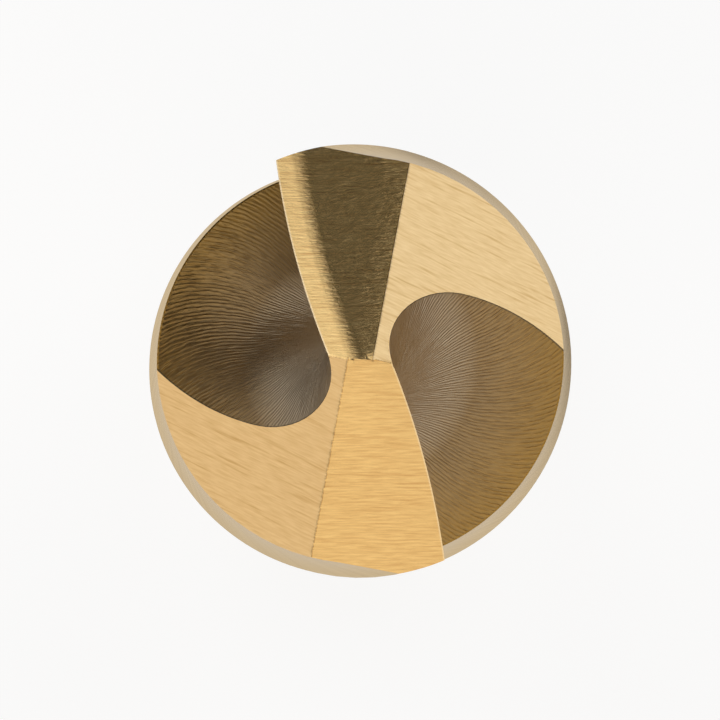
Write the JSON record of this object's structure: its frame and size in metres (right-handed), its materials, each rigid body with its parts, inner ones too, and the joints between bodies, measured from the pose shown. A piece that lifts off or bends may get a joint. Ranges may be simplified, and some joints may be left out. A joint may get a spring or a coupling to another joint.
{
  "type": "twist drill bit",
  "caption": "Right-hand twist drill with spiral flutes, narrow margins, a faceted self-centring point and a plain round shank that it stands on.",
  "frame": {"origin": "middle of the shank's end face, which the drill stands on", "axes": "+Z along the drill's axis from the shank to the point; X lies along the two cutting lips seen from above the point"},
  "size_m": [0.012, 0.012, 0.102],
  "materials": {
    "ground_steel": "ground high-speed steel with a thin gold-bronze oxide film, fine grinding lines"
  },
  "bodies": {
    "root": {"twist_drill": "ground_steel"}
  },
  "joints": []
}
